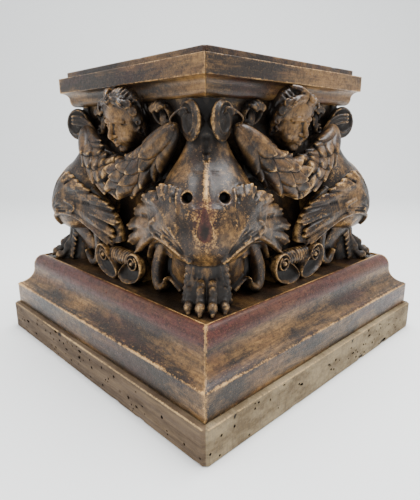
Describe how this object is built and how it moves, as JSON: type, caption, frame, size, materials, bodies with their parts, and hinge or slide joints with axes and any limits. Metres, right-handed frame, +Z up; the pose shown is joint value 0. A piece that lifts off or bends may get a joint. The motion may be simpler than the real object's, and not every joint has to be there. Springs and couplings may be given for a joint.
{
  "type": "carved wooden capital",
  "caption": "Square carved walnut capital with cherub heads and laurel swags on its sides, lion-paw consoles at its corners, and a moulded base on a plinth board.",
  "frame": {"origin": "centre of the plinth board's underside, on the surface that it stands on", "axes": "+Z up the vertical axis; -Y faces the front; the four sides are alike"},
  "size_m": [0.42, 0.42, 0.3589],
  "materials": {
    "waxed_walnut": "dark umber stain and wax, rubbed on the arrises",
    "carved_walnut": "dark umber stain with a waxed gloss, rubbed to golden brown on the high points",
    "bare_walnut": "bare, dry and wormy, with pale end grain"
  },
  "bodies": {
    "root": {"plinth_board": "bare_walnut", "base_block": "waxed_walnut", "carved_body": "carved_walnut", "top_board": "waxed_walnut", "base_moulding_front": "waxed_walnut", "abacus_moulding_front": "waxed_walnut", "base_moulding_right": "waxed_walnut", "abacus_moulding_right": "waxed_walnut", "base_moulding_back": "waxed_walnut", "abacus_moulding_back": "waxed_walnut", "base_moulding_left": "waxed_walnut", "abacus_moulding_left": "waxed_walnut"}
  },
  "joints": []
}
